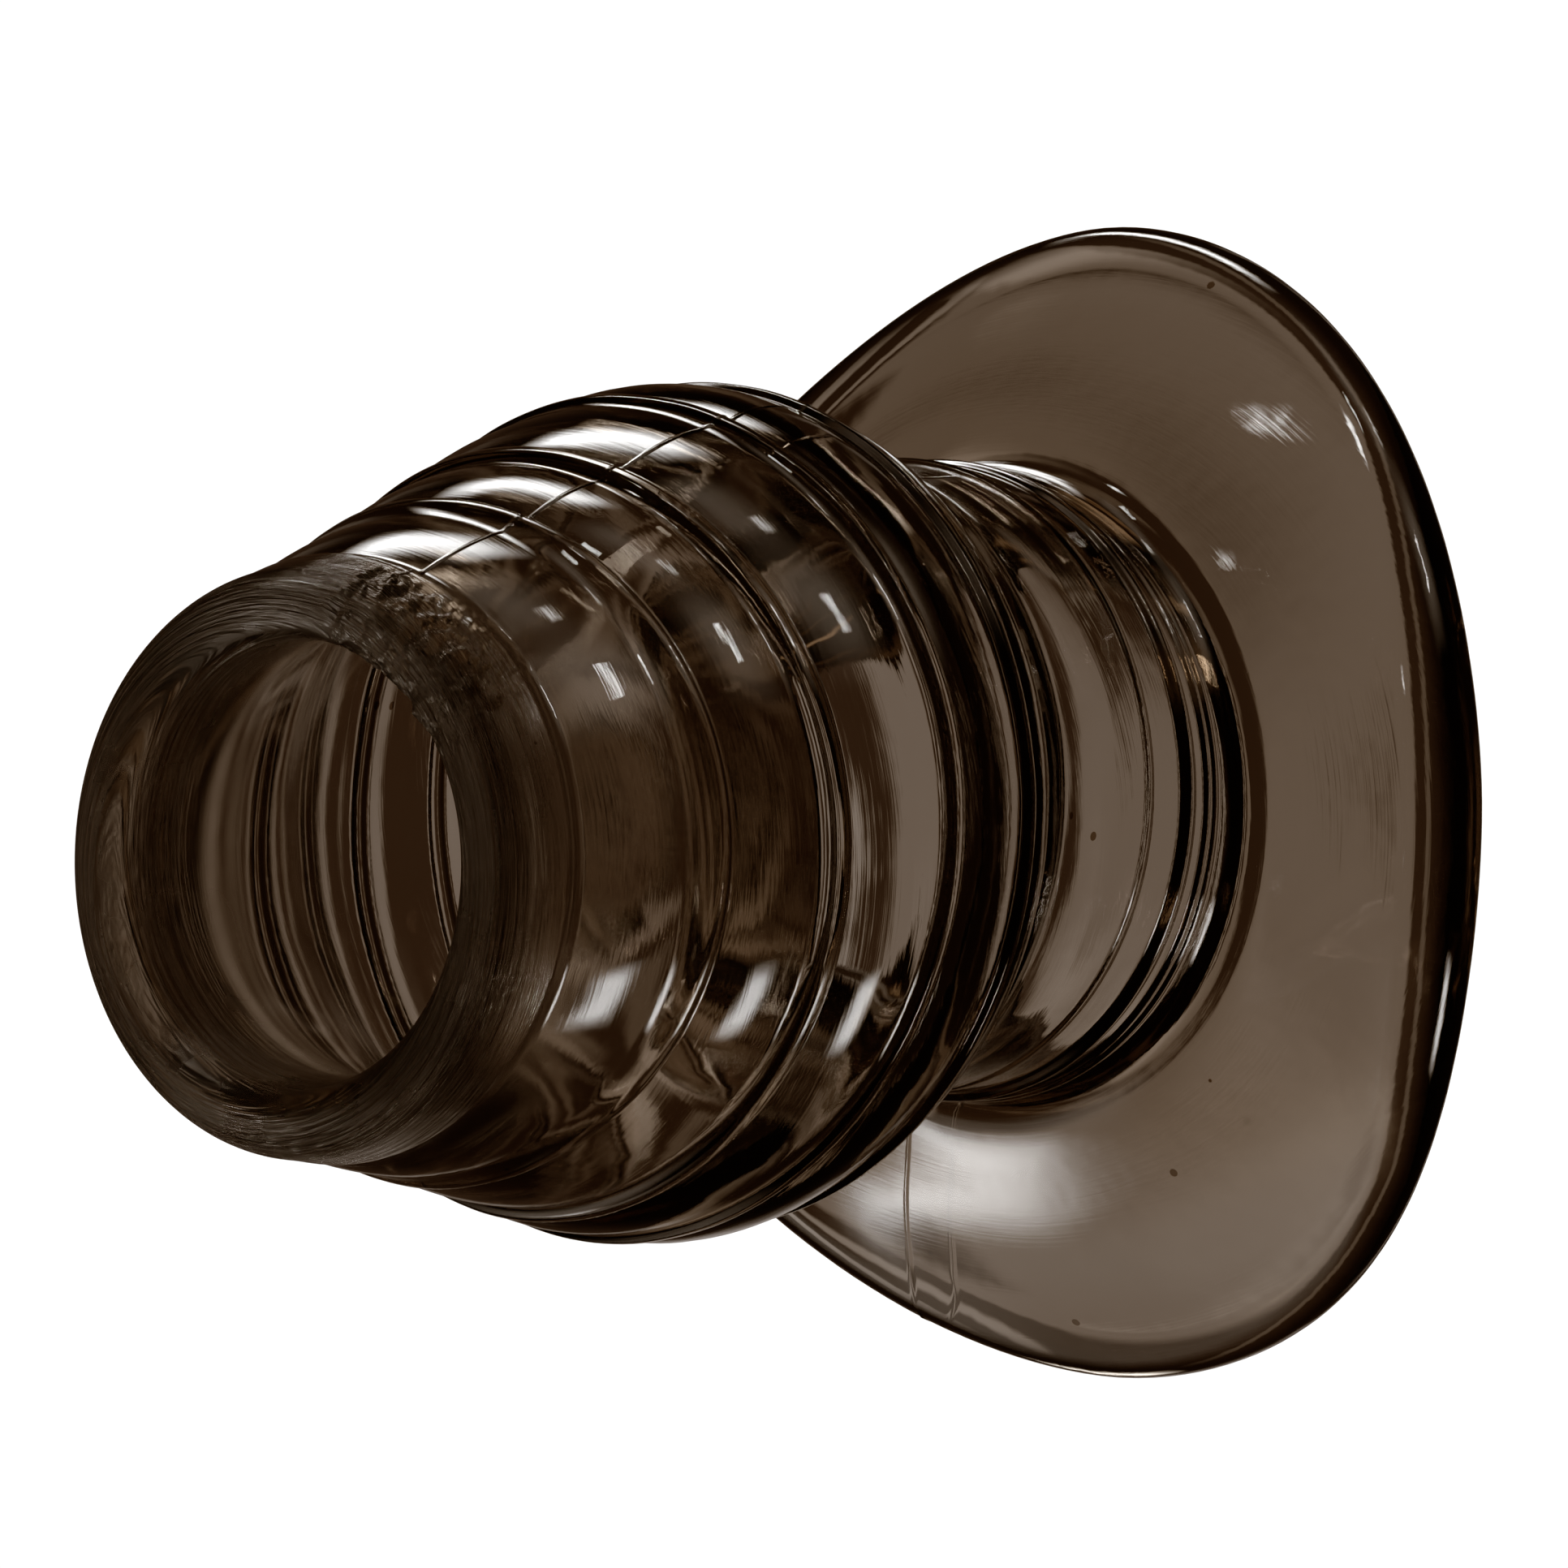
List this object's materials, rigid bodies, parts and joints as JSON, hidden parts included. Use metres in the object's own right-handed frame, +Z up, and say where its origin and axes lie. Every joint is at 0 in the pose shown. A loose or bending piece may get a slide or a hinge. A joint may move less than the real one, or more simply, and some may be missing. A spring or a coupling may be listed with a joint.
{
  "type": "hollow flared plug",
  "caption": "Hollow ribbed plug moulded in one piece in smoke-tinted clear elastomer, with a tunnel through it, a narrow neck and a wide arched oval flange.",
  "frame": {"origin": "under the tunnel, level with the lowest points of the flange", "axes": "+Z up the tunnel from the flange to the mouth, Y along the flange's long way, X across it"},
  "size_m": [0.0834, 0.089, 0.094],
  "materials": {
    "smoke_elastomer": "glossy, clear, smoke-tinted"
  },
  "bodies": {
    "root": {"hollow_plug": "smoke_elastomer"}
  },
  "joints": []
}
